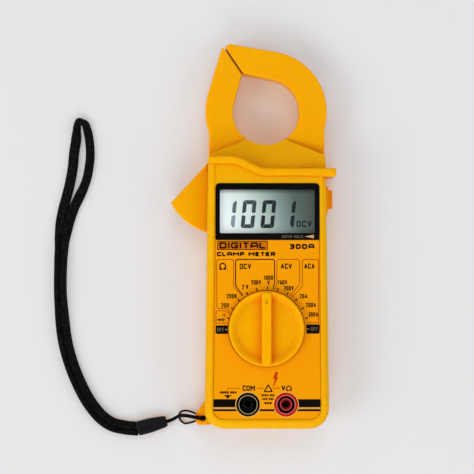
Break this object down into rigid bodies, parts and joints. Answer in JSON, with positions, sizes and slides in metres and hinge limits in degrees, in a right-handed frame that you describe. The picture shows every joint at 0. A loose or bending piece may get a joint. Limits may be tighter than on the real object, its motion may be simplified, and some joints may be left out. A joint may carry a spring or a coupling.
{
  "type": "clamp meter",
  "caption": "Handheld clamp meter with a trigger-opened sensing jaw, LCD window, rotary selector, shrouded test-lead jacks, lift-off battery cover and a cord wrist strap.",
  "frame": {"origin": "on the flat back, on the case's centre line, level with the lower edge of the display window", "axes": "+X to the right as the face is read, +Y towards the jaw tips, +Z out of the display face"},
  "size_m": [0.144, 0.2001, 0.0364],
  "materials": {
    "case_yellow": "fine satin moulding texture",
    "jaw_yellow": "smooth satin",
    "knob_yellow": "smooth satin",
    "label_orange": "printed film",
    "lens_clear": "clear acrylic with a black border",
    "lcd_grey": "reflective liquid crystal panel",
    "black_plastic": "moulded",
    "dark_rubber": "matt",
    "board_green": "solder mask",
    "chip_black": "moulded epoxy",
    "brass": "polished",
    "copper": "bright",
    "steel": "zinc plated",
    "jack_black": "smooth",
    "jack_red": "smooth",
    "battery_grey": "printed can",
    "strap_black": "woven polyester",
    "ferrule_black": "moulded"
  },
  "bodies": {
    "housing": {"front_case": "case_yellow", "rear_case": "case_yellow", "case_screw_1": "steel", "case_screw_2": "steel", "case_screw_3": "steel", "case_screw_4": "steel", "case_screw_5": "steel", "face_label": "label_orange", "display_lens": "lens_clear", "lcd_glass": "lcd_grey", "lcd_holder": "black_plastic", "zebra_strip": "dark_rubber", "main_pcb": "board_green", "main_chip": "chip_black", "buzzer": "brass", "trim_pot": "black_plastic", "crystal": "steel", "divider_resistor": "copper", "hold_switch": "black_plastic", "pcb_screw_1": "steel", "pcb_screw_2": "steel", "jack_com_sleeve": "jack_black", "jack_com_contact": "brass", "jack_volt_sleeve": "jack_red", "jack_volt_contact": "brass", "battery": "battery_grey", "battery_snap": "dark_rubber", "fixed_jaw_front_shell": "jaw_yellow", "fixed_jaw_rear_shell": "jaw_yellow", "fixed_jaw_core": "steel", "coil_bobbin": "black_plastic", "coil_winding": "copper", "pivot_pin": "steel", "trigger_spring": "steel", "strap_ferrule": "ferrule_black", "wrist_strap": "strap_black", "strap_string": "strap_black"},
    "moving_jaw": {"moving_jaw_front_shell": "jaw_yellow", "moving_jaw_rear_shell": "jaw_yellow", "moving_jaw_core": "steel", "moving_jaw_screw": "steel", "trigger_lever": "jaw_yellow"},
    "selector": {"selector_knob": "knob_yellow", "selector_rotor": "black_plastic", "detent_ball_1": "steel", "detent_ball_2": "steel", "detent_spring_1": "steel", "detent_spring_2": "steel", "wiper_contact_1": "copper", "wiper_contact_2": "copper", "knob_clip": "steel"},
    "button": {"hold_button": "knob_yellow"},
    "cover": {"battery_cover": "case_yellow", "battery_cover_screw": "steel"}
  },
  "joints": [
    {"name": "jaw_open", "type": "hinge", "parent": "housing", "child": "moving_jaw", "pos_m": [-0.0214, 0.0318, 0.012], "axis": [0, 0, 1], "range_deg": [0, 28], "stiffness_Nm_per_rad": 0.3, "springref_deg": -11.46, "deforming": ["trigger_spring"]},
    {"name": "selector_turn", "type": "hinge", "parent": "housing", "child": "selector", "pos_m": [-0.00025, -0.0458, 0.03], "axis": [0, 0, 1], "range_deg": [-90, 90]},
    {"name": "hold_press", "type": "slide", "parent": "housing", "child": "button", "axis": [-1, 0, 0], "range_m": [0, 0.0008], "stiffness_N_per_m": 400, "springref_m": -0.0005},
    {"name": "battery_cover_off", "type": "slide", "parent": "housing", "child": "cover", "axis": [0, 0, -1], "range_m": [0, 0.02]}
  ]
}
